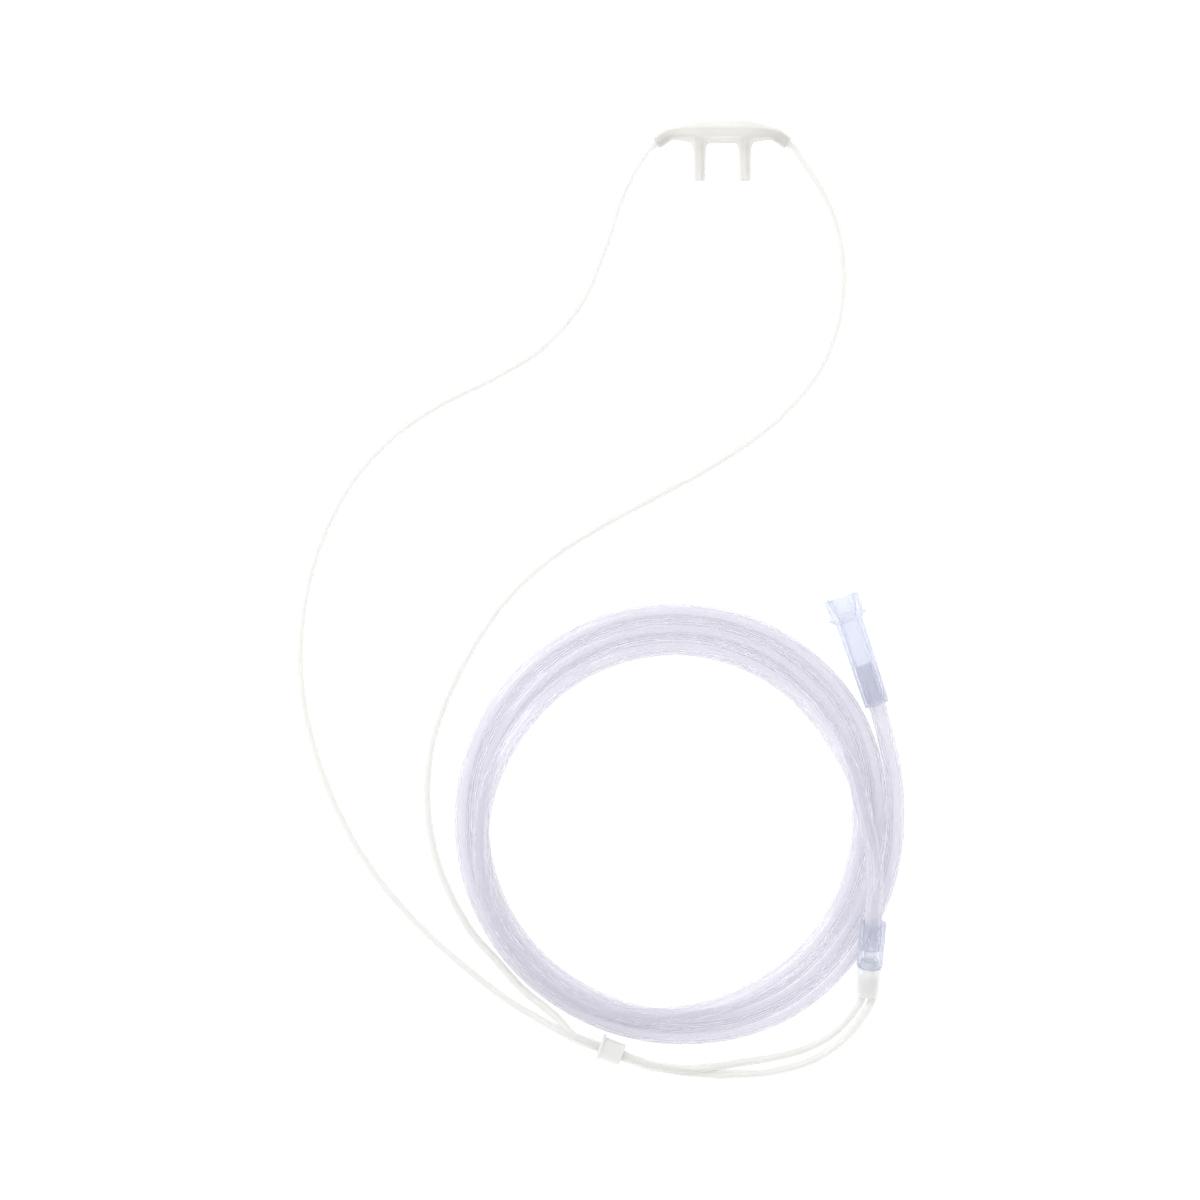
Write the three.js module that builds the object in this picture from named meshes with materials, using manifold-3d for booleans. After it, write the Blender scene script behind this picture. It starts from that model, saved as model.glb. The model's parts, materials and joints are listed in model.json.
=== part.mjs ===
// A nasal oxygen cannula, laid flat on the floor as it is stored. Millimetres: +Z is up, +X is right
// and +Y points from the coil towards the nosepiece. The origin lies on the floor under the middle of
// the nosepiece.
import * as THREE from 'three';
import { mergeVertices } from 'three/addons/utils/BufferGeometryUtils.js';
import Module from 'manifold-3d';

const wasm = await Module();
wasm.setup();

// Gaps
const GAP = 0.3; // between two pieces that meet face to face
const TUBE_FIT = 0.25; // round a tube in its bore

// Tubes
const LARIAT_OD = 3.1;
const LARIAT_SEAT = 4.7; // how far a lariat tube goes into a collar
const LARIAT_STEP = 8.2; // spacing of the tube's rings
const LARIAT_LEAD = 2; // how far a tube stays straight past a collar or socket
const SUPPLY_OD = 6.2;
const SUPPLY_STEP = 9;

// Nosepiece
const NOSE_WIDTH = 47.2; // between the mouths of the collars
const COLLAR_Y = 2.8;
const COLLAR_LENGTH = 5;
const COLLAR_DROOP = 35; // degrees that each collar falls away from the level body
const COLLAR_WALL = 0.55;
const BODY_Y = 6.75;
const BODY_HEIGHT = 8.3; // across the body in the plane of the floor
const BODY_THICKNESS = 7.4;
const BODY_TAPER = 12; // length over which the body narrows to a collar
const BODY_SINK = 0.25; // depth of the flats on the underside and the face
const CHANNEL_BORE = 3;
const PRONG_PITCH = 16.2;
const PRONG_BORE = 3;
const PRONG_WALL = 0.75;
const PRONG_TIP_Y = -10.8;
const PRONG_FLARE = 1.1; // how much wider the root of a prong is, all round
const PRONG_FLARE_LENGTH = 2.6;

// Slider
const SLIDER_LENGTH = 8.8;
const SLIDER_WALL = 0.65;
const SLIDER_LIP = 1; // how far the flange stands out from the sleeve
const SLIDER_LIP_THICKNESS = 1;
const SLIDER_PLACE = new THREE.Vector2(-39.8, -321.4);
const SLIDER_TURN = 20.5; // degrees that its axis falls to the right
const SLIDER_SLOT_TILT = 15; // degrees that the upper tube leans towards the coil
const SLIDER_TRAVEL = 7; // each way
const LARIAT_STACK_GAP = 0.2; // between the two tubes in the slider

// Y connector
const SOCKET_LENGTH = 10.6;
const SOCKET_WALL = 0.6;
const SOCKET_SEAT = 6; // how far a lariat tube goes in
const SOCKET_WEB = 0.3; // between the two bores
const CHAMBER_BORE = 4.6;
const SPIGOT_LENGTH = 2.4;
const SPIGOT_WALL = 0.7;
const COUPLER_LENGTH = 16.6;
const COUPLER_WALL = 1.35;
const COUPLER_SEAT = 10; // how far the supply tube goes in
const COUPLER_BORE = 4.4; // between the two sockets of the coupler
const Y_FOOT = new THREE.Vector2(51.7, -301.2);
const Y_TURN = 4.3; // degrees that the connector leans to the right of +Y
const Y_REACH = 22; // from its foot to where it lies on the outer turn of the coil

// End connector
const CONNECTOR_PLACE = new THREE.Vector2(55.3, -197.7);
const CONNECTOR_TURN = 18.7; // degrees that it leans to the left of +Y
const CONNECTOR_WALL = 1.1;
const CONNECTOR_SEAT = 15; // how far the supply tube goes in
const CONNECTOR_BODY = 31.6; // from its lower end to the back of the flange
const CONNECTOR_SWELL = 0.55; // how much thicker the body's wall gets towards the flange
const CONNECTOR_BORE = 7.1;
const FLANGE_DIAMETER = 14.3;
const FLANGE_SLOPE = 1.5;
const FLANGE_THICKNESS = 0.8;
const CUP_LENGTH = 7.1;
const CUP_BORE = 11;
const CUP_WALL = 0.9;
const CUP_TAPER = 0.35; // how much narrower the cup is at the flange

// Coil of the supply tube: the distance of its centreline from the coil's centre, and its height, at
// every COIL_STEP degrees counter-clockwise from +X, for three turns.
const COIL_CENTRE = new THREE.Vector2(-14.64, -240);
const COIL_STEP = 30;
const COIL_START = 15; // degrees at which the upper tube comes down onto the coil
const COIL_SPACING = 10; // degrees between the sections of the coil's solid
const COIL_SIDES = 12;
const FLOOR = SUPPLY_OD / 2;
const TURN_RADII = [
  66.1, 61.9, 61.7, 62.0, 63.8, 67.0, 71.3, 74.3, 72.9, 68.0, 64.5, 63.4,
  64.0, 66.7, 68.2, 69.1, 70.7, 71.8, 71.7, 71.0, 69.6, 69.4, 70.8, 69.9,
  70.3, 73.0, 74.8, 76.2, 77.6, 78.1, 78.0, 77.3, 76.4, 76.1, 77.0, 76.8, 76.7,
];
const FIRST_TURN_HEIGHTS = [10.3, 8.0, 3.3, FLOOR, FLOOR, 7.3, 9.3, 8.7, 8.6, 9.2, 5.4, 3.2];

// Routes of the loose tubes, point by point
const START_POINTS = [
  [53.9, -267.0, 13.4], [54.3, -261.5, 12.9], [54.2, -255.0, 11.7],
  [53.3, -248.0, 10.5], [51.5, -240.0, 9.9], [49.4, -231.8, 9.7],
];
const TAIL_POINTS = [
  [62.1, -231.8, 3.1], [61.5, -224.6, 3.1], [60.4, -217.5, 3.15], [59.6, -213.9, 3.3],
  [58.7, -210.4, 3.5], [57.8, -206.8, 3.75], [56.8, -203.2, 4.0],
];
const LEFT_ARM = [
  [-28.4, -2.3, 1.8], [-35.2, -14.8, 1.55], [-42.1, -35.0, 1.55], [-50.7, -54.5, 1.55],
  [-64.7, -70.4, 1.55], [-82.9, -81.5, 1.55], [-102.0, -91.0, 1.55], [-119.3, -103.4, 1.55],
  [-133.3, -119.5, 1.55], [-143.0, -138.5, 1.55], [-148.9, -159.0, 1.55], [-150.9, -180.2, 1.55],
  [-148.8, -201.4, 1.55], [-143.1, -221.9, 1.55], [-134.5, -241.5, 1.55], [-123.3, -259.6, 1.55],
  [-109.3, -275.7, 1.55], [-93.6, -290.2, 1.55], [-76.8, -303.2, 1.75], [-64.6, -310.6, 2.5],
];
const LEFT_FOOT = [
  [-21.7, -327.7, 2.5], [-12.2, -329.3, 1.75], [-5.7, -329.8, 1.55], [-1.2, -330.1, 1.55],
  [6.3, -329.8, 1.55], [14.7, -329.4, 1.55], [23.1, -327.8, 1.55], [31.1, -325.3, 1.55],
  [38.6, -321.2, 1.7], [45.1, -315.8, 1.95], [50.1, -309.4, 2.5],
];
const RIGHT_ARM = [
  [28.6, -3.4, 1.8], [36.1, -15.2, 1.55], [41.2, -28.6, 1.55], [43.2, -42.8, 1.55],
  [42.2, -57.1, 1.55], [38.3, -70.8, 1.55], [31.2, -83.3, 1.55], [16.3, -98.7, 1.55],
  [-1.4, -110.9, 1.55], [-20.1, -121.4, 1.55], [-39.1, -131.5, 1.55], [-57.5, -142.6, 1.55],
  [-73.9, -156.4, 1.55], [-86.9, -173.6, 1.55], [-97.1, -192.5, 1.55], [-104.0, -212.8, 1.55],
  [-105.5, -234.1, 1.55], [-101.6, -255.3, 1.55], [-90.3, -278.2, 1.55], [-81.4, -288.5, 1.8],
  [-71.9, -299.0, 2.8], [-60.4, -308.3, 4.9],
];
const RIGHT_FOOT = [
  [-21.5, -326.9, 5.6], [-12.0, -327.7, 4.4], [-5.7, -327.3, 3.6], [-1.6, -326.9, 2.4],
  [6.6, -325.6, 1.55], [15.2, -324.3, 1.55], [23.7, -322.5, 1.55], [32.0, -319.7, 1.55],
  [39.5, -315.3, 1.7], [45.2, -309.6, 2.3],
];

// Plastics
const plastic = (colour, roughness, opacity) =>
  new THREE.MeshStandardMaterial({
    color: colour, roughness, metalness: 0, opacity, transparent: opacity < 1,
  });
const milkyVinyl = plastic(0xeeedea, 0.35, 0.85);
const lariatVinyl = plastic(0xf0eee8, 0.3, 0.8);
const sliderPlastic = plastic(0xe4e3dc, 0.45, 1);
const violetVinyl = plastic(0xcfcbe0, 0.15, 0.6);
const blueVinyl = plastic(0xb9c6e8, 0.15, 0.6);

const radians = THREE.MathUtils.degToRad;
const toVector = (point) => new THREE.Vector3(...point);
const mirrored = (point) => new THREE.Vector3(-point.x, point.y, point.z);

// The unit vector that is `turn` degrees clockwise from +Y and rises `tilt` radians
const heading = (turn, tilt) => new THREE.Vector3(
  Math.sin(radians(turn)) * Math.cos(tilt),
  Math.cos(radians(turn)) * Math.cos(tilt),
  Math.sin(tilt),
);

// The same place, moved `distance` along `direction`
const along = (place, direction, distance) => place.clone().addScaledVector(direction, distance);

// Booleans
function solid(geometry) {
  const bare = new THREE.BufferGeometry().setAttribute('position', geometry.getAttribute('position'));
  bare.setIndex(geometry.index);
  const merged = mergeVertices(bare, 1e-4);
  return new wasm.Manifold(new wasm.Mesh({
    numProp: 3,
    vertProperties: merged.attributes.position.array,
    triVerts: new Uint32Array(merged.index.array),
  }));
}

function geometryOf(manifold) {
  const mesh = manifold.getMesh();
  const geometry = new THREE.BufferGeometry();
  geometry.setAttribute('position', new THREE.BufferAttribute(mesh.vertProperties, 3));
  geometry.setIndex(new THREE.BufferAttribute(mesh.triVerts, 1));
  return geometry;
}

// A closed skin over rings of equal counts of points, each ring right-handed about the way forward
function loft(rings) {
  const count = rings[0].length;
  const middle = (ring) =>
    ring.reduce((sum, point) => sum.add(point), new THREE.Vector3()).divideScalar(count);
  const points = [...rings.flat(), middle(rings[0]), middle(rings.at(-1))];
  const last = (rings.length - 1) * count;
  const firstCap = rings.length * count;
  const faces = [];
  for (let side = 0; side < count; side += 1) {
    const next = (side + 1) % count;
    for (let row = 0; row < last; row += count) {
      const [a, b] = [row + side, row + next];
      faces.push(a, b, b + count, a, b + count, a + count);
    }
    faces.push(firstCap, next, side, firstCap + 1, last + side, last + next);
  }
  return new THREE.BufferGeometry().setFromPoints(points).setIndex(faces);
}

// A profile of [radius, height] points turned about +Z
function turned(profile, segments = 32) {
  const points = profile.map(([radius, height]) => new THREE.Vector2(radius, height));
  return new THREE.LatheGeometry(points, segments).rotateX(Math.PI / 2);
}

// A round bar from height `low` to height `high` on +Z
const bar = (radius, low, high, segments = 24) =>
  turned([[0, low], [radius, low], [radius, high], [0, high]], segments);

// A smooth curve through points that never dips below the height of a tube lying on the floor
class RestingCurve extends THREE.CatmullRomCurve3 {
  constructor(points, floor) {
    super(points, false, 'centripetal');
    this.floor = floor;
  }

  getPoint(share, target) {
    const point = super.getPoint(share, target);
    return point.setZ(Math.max(point.z, this.floor));
  }
}

// A round tube's outer shape along a smooth curve through points
function tube(points, diameter, step, sides = 8) {
  const path = new RestingCurve(points, diameter / 2);
  const corners = Array.from({ length: sides }, (_, side) => {
    const angle = (side / sides) * 2 * Math.PI;
    return new THREE.Vector2(Math.cos(angle), Math.sin(angle)).multiplyScalar(diameter / 2);
  });
  path.arcLengthDivisions = points.length * 20;
  return new THREE.ExtrudeGeometry(new THREE.Shape(corners), {
    steps: Math.ceil(path.getLength() / step),
    bevelEnabled: false,
    extrudePath: path,
  });
}

// A mesh whose own +Z runs along `axis` from `place`, with its own +X level
function standing(name, geometry, material, place, axis) {
  const mesh = new THREE.Mesh(geometry, material);
  const level = new THREE.Vector3(0, 0, 1).cross(axis).normalize();
  const across = axis.clone().cross(level);
  mesh.name = name;
  mesh.setRotationFromMatrix(new THREE.Matrix4().makeBasis(level, across, axis));
  mesh.position.copy(place);
  return mesh;
}

function named(name, geometry, material) {
  const mesh = new THREE.Mesh(geometry, material);
  mesh.name = name;
  return mesh;
}

// Nosepiece: one moulding, a flattened body that tapers to a drooping collar at each end, with two
// hollow prongs and one gas channel from collar to collar.
const lariatBore = LARIAT_OD / 2 + TUBE_FIT;
const collarRadius = lariatBore + COLLAR_WALL;
const collarMouth = new THREE.Vector3(NOSE_WIDTH / 2, COLLAR_Y, collarRadius);
const collarOut = heading(90 + COLLAR_DROOP, 0);
const collarRoot = along(collarMouth, collarOut, -COLLAR_LENGTH);

// Half of the body's centreline, from the middle to the collar's root, seen from above
const halfBody = new THREE.CubicBezierCurve(
  new THREE.Vector2(0, BODY_Y),
  new THREE.Vector2(collarRoot.x / 2, BODY_Y),
  new THREE.Vector2(collarRoot.x - 0.45 * COLLAR_LENGTH * collarOut.x,
    collarRoot.y - 0.45 * COLLAR_LENGTH * collarOut.y),
  new THREE.Vector2(collarRoot.x, collarRoot.y),
);
const BODY_ROWS = 14;
const BODY_SIDES = 28;

// How much of the body's full section is reached at x, from 0 at the collar to 1
const fullness = (x) => THREE.MathUtils.smoothstep(collarRoot.x - Math.abs(x), 0, BODY_TAPER);

function bodySection(place, tangent, sizes, sides) {
  const across = new THREE.Vector3(-tangent.y, tangent.x, 0);
  return Array.from({ length: sides }, (_, side) => {
    const angle = (side / sides) * 2 * Math.PI;
    const [c, s] = [Math.cos(angle), Math.sin(angle)];
    const round = (value) => Math.sign(value) * Math.abs(value) ** sizes.power;
    return new THREE.Vector3(place.x, place.y, sizes.centre + sizes.up * round(s))
      .addScaledVector(across, sizes.across * round(c));
  });
}

// Rings along the whole nosepiece from the left collar's mouth to the right one's
function alongNosepiece(sizesAt, sides, reach) {
  const right = [];
  for (let row = 0; row <= BODY_ROWS; row += 1) {
    const point = halfBody.getPoint(row / BODY_ROWS);
    const tangent = halfBody.getTangent(row / BODY_ROWS);
    right.push({ place: point, tangent });
  }
  const mouth = along(collarRoot, collarOut, reach);
  right.push({ place: mouth, tangent: collarOut });
  const left = right.slice(1).reverse().map(({ place, tangent }) => ({
    place: { x: -place.x, y: place.y },
    tangent: { x: tangent.x, y: -tangent.y },
  }));
  return loft([...left, ...right].map(({ place, tangent }) =>
    bodySection(place, tangent, sizesAt(place.x), sides)));
}

const mix = THREE.MathUtils.lerp;
const bodyCentre = (x) => mix(collarRadius, BODY_THICKNESS / 2 - BODY_SINK, fullness(x));
const bodySizes = (x) => ({
  centre: bodyCentre(x),
  across: mix(collarRadius, BODY_HEIGHT / 2, fullness(x)),
  up: mix(collarRadius, BODY_THICKNESS / 2, fullness(x)),
  power: mix(1, 0.8, fullness(x)),
});
const channelSizes = (x) => ({
  centre: bodyCentre(x), across: CHANNEL_BORE / 2, up: CHANNEL_BORE / 2, power: 1,
});

function nosepiece() {
  const prongRadius = PRONG_BORE / 2 + PRONG_WALL;
  const prongRoot = BODY_Y - BODY_HEIGHT / 2;
  const prongHeight = bodyCentre(0);
  const bodyTop = BODY_THICKNESS - 2 * BODY_SINK;
  const prongOutside = turned([
    [0, -BODY_Y], [prongRadius + PRONG_FLARE, -BODY_Y], [prongRadius + PRONG_FLARE, -prongRoot],
    [prongRadius + PRONG_FLARE * 0.4, PRONG_FLARE_LENGTH * 0.35 - prongRoot],
    [prongRadius + PRONG_FLARE * 0.1, PRONG_FLARE_LENGTH * 0.7 - prongRoot],
    [prongRadius, PRONG_FLARE_LENGTH - prongRoot], [prongRadius, -PRONG_TIP_Y], [0, -PRONG_TIP_Y],
  ], 24);
  const prongInside = bar(PRONG_BORE / 2, -BODY_Y, 1 - PRONG_TIP_Y);
  let outside = solid(alongNosepiece(bodySizes, BODY_SIDES, COLLAR_LENGTH));
  let inside = solid(alongNosepiece(channelSizes, 16, COLLAR_LENGTH / 2));
  for (const side of [-1, 1]) {
    const place = (geometry) =>
      solid(geometry.clone().rotateX(Math.PI / 2).translate(side * PRONG_PITCH / 2, 0, prongHeight));
    outside = outside.add(place(prongOutside));
    inside = inside.add(place(prongInside));
    const seat = standing('seat', bar(lariatBore, -LARIAT_SEAT - GAP, 1), milkyVinyl,
      side > 0 ? collarMouth : mirrored(collarMouth),
      new THREE.Vector3(side * collarOut.x, collarOut.y, 0));
    seat.updateMatrix();
    inside = inside.add(solid(seat.geometry.applyMatrix4(seat.matrix)));
  }
  const slab = new THREE.BoxGeometry(2 * NOSE_WIDTH, 2 * NOSE_WIDTH, BODY_THICKNESS);
  const below = solid(slab.clone().translate(0, 0, -BODY_THICKNESS / 2));
  const above = solid(slab.clone().translate(0, 0, bodyTop + BODY_THICKNESS / 2));
  return geometryOf(outside.subtract(below).subtract(above).subtract(inside));
}

// Slider: a sleeve with a thin flange at the end towards the nosepiece. Both tubes pass through one
// slot, the right one above the left one.
const slotWidth = LARIAT_OD + 2 * TUBE_FIT;
const slotHeight = 2 * LARIAT_OD + LARIAT_STACK_GAP + 2 * TUBE_FIT;
const sleeveRadius = slotHeight / 2 + SLIDER_WALL;
const sliderLipRadius = sleeveRadius + SLIDER_LIP;
const sliderAxis = heading(SLIDER_TURN - 90, 0);
const sliderCentre = new THREE.Vector3(SLIDER_PLACE.x, SLIDER_PLACE.y, sliderLipRadius);

// Where a tube runs in the slider, `distance` along its axis; `side` is 1 for the upper tube
function inSlider(side, distance) {
  const offset = (side * (LARIAT_OD + LARIAT_STACK_GAP)) / 2;
  const tilt = radians(SLIDER_SLOT_TILT);
  const north = heading(SLIDER_TURN, 0);
  return along(sliderCentre, sliderAxis, distance)
    .addScaledVector(north, offset * Math.sin(tilt))
    .add(new THREE.Vector3(0, 0, offset * Math.cos(tilt)));
}

function slider() {
  const half = SLIDER_LENGTH / 2;
  const body = solid(turned([
    [0, -half], [sleeveRadius, -half], [sleeveRadius, half - SLIDER_LIP_THICKNESS],
    [sliderLipRadius, half - SLIDER_LIP_THICKNESS], [sliderLipRadius, half], [0, half],
  ]));
  const reach = slotHeight / 2 - slotWidth / 2;
  const outline = new THREE.Shape();
  outline.absarc(0, reach, slotWidth / 2, 0, Math.PI, false);
  outline.absarc(0, -reach, slotWidth / 2, Math.PI, 2 * Math.PI, false);
  const slot = new THREE.ExtrudeGeometry(outline, {
    depth: SLIDER_LENGTH + 2, bevelEnabled: false, curveSegments: 12,
  }).translate(0, 0, -half - 1).rotateZ(radians(SLIDER_SLOT_TILT));
  return geometryOf(body.subtract(solid(slot)));
}

// Y connector: a milky socket for the two lariat tubes and a coupler for the supply tube. Its foot
// rests on the floor and the coupler lies on the outer turn of the coil.
const socketOffset = lariatBore + SOCKET_WEB / 2;
const socketRadius = socketOffset + lariatBore + SOCKET_WALL;
const supplyBore = SUPPLY_OD / 2 + TUBE_FIT;
const couplerRadius = supplyBore + COUPLER_WALL;
const yTilt = Math.asin((SUPPLY_OD + GAP + couplerRadius - socketRadius) / Y_REACH);
const yAxis = heading(Y_TURN, yTilt);
const yFoot = new THREE.Vector3(Y_FOOT.x, Y_FOOT.y, socketRadius * Math.cos(yTilt));
const yHead = along(yFoot, yAxis, SOCKET_LENGTH + GAP + COUPLER_LENGTH);
const spigotRadius = CHAMBER_BORE / 2 + SPIGOT_WALL;

// The place of a lariat tube, `depth` into the socket; `side` is 1 for the right-hand tube
function inSocket(side, depth) {
  const level = heading(90 + Y_TURN, 0);
  return along(yFoot, yAxis, depth).addScaledVector(level, side * socketOffset);
}

function lariatSocket() {
  const top = SOCKET_LENGTH + SPIGOT_LENGTH;
  let body = solid(turned([
    [0, 0], [socketRadius, 0], [socketRadius, SOCKET_LENGTH], [spigotRadius, SOCKET_LENGTH],
    [spigotRadius, top], [0, top],
  ]));
  body = body.subtract(solid(bar(CHAMBER_BORE / 2, SOCKET_SEAT, top + 1)));
  for (const side of [-1, 1]) {
    const bore = bar(lariatBore, -1, SOCKET_SEAT + GAP).translate(side * socketOffset, 0, 0);
    body = body.subtract(solid(bore));
  }
  return geometryOf(body);
}

// The coupler is a ring turned about its axis: its profile closes on itself
function supplyCoupler() {
  const low = SOCKET_LENGTH + GAP;
  const high = low + COUPLER_LENGTH;
  const spigotTop = SOCKET_LENGTH + SPIGOT_LENGTH + GAP;
  const seatEnd = high - COUPLER_SEAT - GAP;
  return turned([
    [spigotRadius + GAP, low], [couplerRadius, low], [couplerRadius, high], [supplyBore, high],
    [supplyBore, seatEnd], [COUPLER_BORE / 2, seatEnd], [COUPLER_BORE / 2, spigotTop],
    [spigotRadius + GAP, spigotTop], [spigotRadius + GAP, low],
  ]);
}

// End connector: it rests on the edge of its flange and on its lower end
const connectorRadius = supplyBore + CONNECTOR_WALL;
const flangeRest = CONNECTOR_BODY + FLANGE_SLOPE;
const connectorTilt = Math.asin((FLANGE_DIAMETER / 2 - connectorRadius) / flangeRest);
const connectorAxis = heading(-CONNECTOR_TURN, connectorTilt);
const connectorEnd = new THREE.Vector3(
  CONNECTOR_PLACE.x, CONNECTOR_PLACE.y, connectorRadius * Math.cos(connectorTilt));

function endConnector() {
  const flangeTop = flangeRest + FLANGE_THICKNESS;
  const mouth = flangeTop + CUP_LENGTH;
  const cupRadius = CUP_BORE / 2 + CUP_WALL;
  const seatEnd = CONNECTOR_SEAT + GAP;
  return turned([
    [supplyBore, 0], [connectorRadius, 0], [connectorRadius + CONNECTOR_SWELL, CONNECTOR_BODY],
    [FLANGE_DIAMETER / 2, flangeRest], [FLANGE_DIAMETER / 2, flangeTop],
    [cupRadius - CUP_TAPER, flangeTop], [cupRadius, mouth], [CUP_BORE / 2, mouth],
    [CONNECTOR_BORE / 2, flangeRest], [CONNECTOR_BORE / 2, seatEnd], [supplyBore, seatEnd],
    [supplyBore, 0],
  ]);
}

// Supply tube
const turnRadii = new THREE.SplineCurve(
  TURN_RADII.map((radius, row) => new THREE.Vector2(row * COIL_STEP, radius)));
const turnHeights = new THREE.SplineCurve(
  TURN_RADII.map((_, row) => new THREE.Vector2(row * COIL_STEP, FIRST_TURN_HEIGHTS[row] ?? FLOOR)));
const ALL_TURNS = COIL_STEP * (TURN_RADII.length - 1);

// The centre of the tube at an angle from 0 to three full turns, as radius and height
function strand(angle) {
  return {
    radius: turnRadii.getPoint(angle / ALL_TURNS).y,
    height: Math.max(FLOOR, turnHeights.getPoint(angle / ALL_TURNS).y),
  };
}

function inCoil(angle, radius, height) {
  return new THREE.Vector3(
    COIL_CENTRE.x + radius * Math.cos(radians(angle)),
    COIL_CENTRE.y + radius * Math.sin(radians(angle)),
    height,
  );
}

// The outline round the strands that cross one section of the coil: each side touches the outermost
// strand in its direction, and the corners are where neighbouring sides meet.
function bundleSection(angle, strands) {
  const sides = Array.from({ length: COIL_SIDES }, (_, side) => {
    const turn = (-side / COIL_SIDES) * 2 * Math.PI;
    const [outward, up] = [Math.cos(turn), Math.sin(turn)];
    const reach = Math.max(...strands.map((s) => s.radius * outward + s.height * up)) + FLOOR;
    return { outward, up, reach };
  });
  return sides.map((a, side) => {
    const b = sides[(side + 1) % COIL_SIDES];
    const area = a.outward * b.up - a.up * b.outward;
    return inCoil(
      angle,
      (a.reach * b.up - a.up * b.reach) / area,
      (a.outward * b.reach - a.reach * b.outward) / area,
    );
  });
}

function supplyCoil() {
  const sections = (from, to, firstTurn) => {
    const rings = [];
    const count = Math.ceil((to - from) / COIL_SPACING);
    for (let row = 0; row <= count; row += 1) {
      const angle = mix(from, to, row / count);
      const turns = firstTurn ? [angle, angle + 360, angle + 720] : [angle + 360, angle + 720];
      rings.push(bundleSection(angle, turns.map(strand)));
    }
    return solid(loft(rings));
  };
  const joint = 0.5; // degrees that the two stretches share
  const full = sections(COIL_START, 360, true);
  const low = sections(-joint, COIL_START + joint, false);
  return geometryOf(full.add(low));
}

function supplyStart() {
  const landing = strand(COIL_START);
  const end = inCoil(COIL_START, landing.radius, landing.height);
  const before = along(end, heading(-COIL_START, 0), -2 * GAP);
  return tube([
    along(yHead, yAxis, -COUPLER_SEAT), along(yHead, yAxis, -COUPLER_SEAT / 2), yHead,
    ...START_POINTS.map(toVector), before,
  ], SUPPLY_OD, SUPPLY_STEP, 12);
}

function supplyEnd() {
  const last = strand(ALL_TURNS);
  const start = inCoil(0, last.radius, last.height);
  return tube([
    along(start, heading(0, 0), GAP), ...TAIL_POINTS.map(toVector), connectorEnd,
    along(connectorEnd, connectorAxis, CONNECTOR_SEAT / 2),
    along(connectorEnd, connectorAxis, CONNECTOR_SEAT),
  ], SUPPLY_OD, SUPPLY_STEP, 12);
}

// Lariat tubes: from the collar along the floor, through the slider and into the socket. The stretch
// that the slider travels on is straight.
function lariat(collarSide, sliderSide, arm, foot) {
  const collar = collarSide > 0 ? collarMouth : mirrored(collarMouth);
  const out = new THREE.Vector3(collarSide * collarOut.x, collarOut.y, 0);
  const straight = SLIDER_LENGTH / 2 + SLIDER_TRAVEL;
  const stretch = [straight + 2.5, straight, straight / 2, -straight / 2, -straight, -straight - 2.5];
  return tube([
    along(collar, out, -LARIAT_SEAT), along(collar, out, -LARIAT_SEAT / 2),
    along(collar, out, LARIAT_LEAD), ...arm.map(toVector),
    ...stretch.map((distance) => inSlider(sliderSide, distance)), ...foot.map(toVector),
    inSocket(-sliderSide, -LARIAT_LEAD), inSocket(-sliderSide, SOCKET_SEAT / 2),
    inSocket(-sliderSide, SOCKET_SEAT),
  ], LARIAT_OD, LARIAT_STEP);
}

const cannula = new THREE.Group();
cannula.add(
  named('nosepiece', nosepiece(), milkyVinyl),
  named('lariat_tube_left', lariat(-1, -1, LEFT_ARM, LEFT_FOOT), lariatVinyl),
  named('lariat_tube_right', lariat(1, 1, RIGHT_ARM, RIGHT_FOOT), lariatVinyl),
  standing('slider', slider(), sliderPlastic, sliderCentre, sliderAxis),
  standing('lariat_socket', lariatSocket(), milkyVinyl, yFoot, yAxis),
  standing('supply_coupler', supplyCoupler(), blueVinyl, yFoot, yAxis),
  named('supply_tube_start', supplyStart(), violetVinyl),
  named('supply_coil', supplyCoil(), violetVinyl),
  named('supply_tube_end', supplyEnd(), violetVinyl),
  standing('end_connector', endConnector(), blueVinyl, connectorEnd, connectorAxis),
);

export default cannula;
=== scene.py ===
# %% [markdown]
# # A nasal oxygen cannula
#
# A cannula is a set of soft vinyl tubes: a milky nosepiece with two prongs, two thin lariat tubes that
# go behind the ears, a slider that draws them together, a Y connector, and a thick clear supply tube
# that ends in a funnel for the oxygen outlet. Here it lies on a white table, seen from above.
#
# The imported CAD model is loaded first. It stays put as the frame, and each piece made below takes the
# place of the plain solid that it stands for. All sizes here are in millimetres until a mesh is made.

import bmesh
import bpy
import json
import numpy as np
from mathutils import Matrix, Vector

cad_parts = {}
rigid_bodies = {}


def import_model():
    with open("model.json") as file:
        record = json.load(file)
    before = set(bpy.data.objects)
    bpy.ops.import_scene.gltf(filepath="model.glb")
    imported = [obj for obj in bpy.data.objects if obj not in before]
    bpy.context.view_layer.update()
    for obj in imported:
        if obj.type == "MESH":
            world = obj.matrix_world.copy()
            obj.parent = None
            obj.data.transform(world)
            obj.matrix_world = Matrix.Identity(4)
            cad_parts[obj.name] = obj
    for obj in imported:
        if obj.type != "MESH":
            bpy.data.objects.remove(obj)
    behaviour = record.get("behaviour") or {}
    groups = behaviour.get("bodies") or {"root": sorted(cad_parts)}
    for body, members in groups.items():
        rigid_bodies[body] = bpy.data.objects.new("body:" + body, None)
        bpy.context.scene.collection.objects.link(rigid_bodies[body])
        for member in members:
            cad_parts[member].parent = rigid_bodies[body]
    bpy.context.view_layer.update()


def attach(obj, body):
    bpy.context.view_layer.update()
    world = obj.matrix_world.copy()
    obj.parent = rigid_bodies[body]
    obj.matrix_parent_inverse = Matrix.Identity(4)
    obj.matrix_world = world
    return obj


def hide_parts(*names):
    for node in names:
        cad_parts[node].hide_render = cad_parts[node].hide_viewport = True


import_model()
MM = 0.001

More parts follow.
